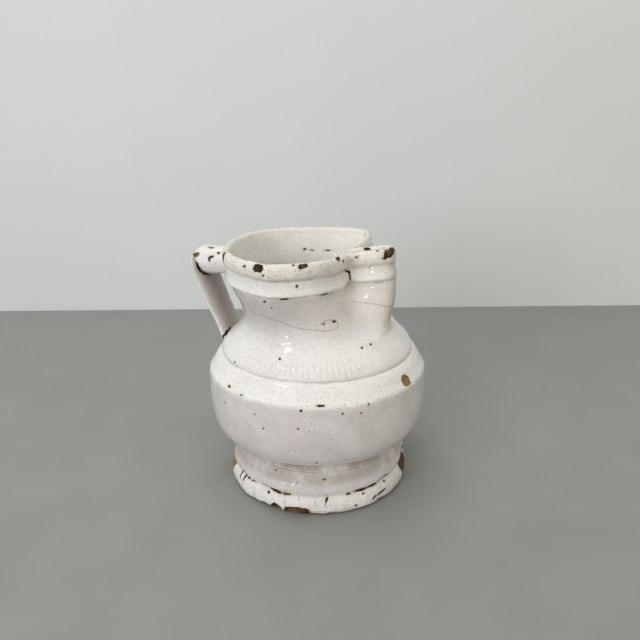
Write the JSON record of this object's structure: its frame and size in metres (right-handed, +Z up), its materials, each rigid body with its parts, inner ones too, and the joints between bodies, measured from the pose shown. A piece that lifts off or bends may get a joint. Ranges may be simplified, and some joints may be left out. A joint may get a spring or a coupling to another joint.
{
  "type": "ceramic pitcher",
  "caption": "Tin-glazed pitcher with a turned foot, broad belly, flared neck with moulded collar, pinched pouring spout and a strap handle hung from a lug.",
  "frame": {"origin": "on the vessel's axis, in the plane that the foot stands on", "axes": "+Z up along the vessel's axis, +X towards the pouring spout, -X towards the handle"},
  "size_m": [0.1735, 0.162, 0.1818],
  "materials": {
    "clay": "matt fired earthenware body, tan to brown, seen where the glaze has chipped and under the foot",
    "glaze": "thick glossy warm white tin glaze, creamier on the rim, with brown chips and fine dark specks"
  },
  "bodies": {
    "root": {"foot": "clay", "belly": "clay", "shoulder": "clay", "neck": "clay", "handle_strap": "clay", "handle_lug": "clay", "foot_glaze": "glaze", "belly_glaze": "glaze", "shoulder_glaze": "glaze", "neck_glaze": "glaze", "strap_glaze": "glaze", "lug_glaze": "glaze", "lining_glaze": "glaze"}
  },
  "joints": []
}
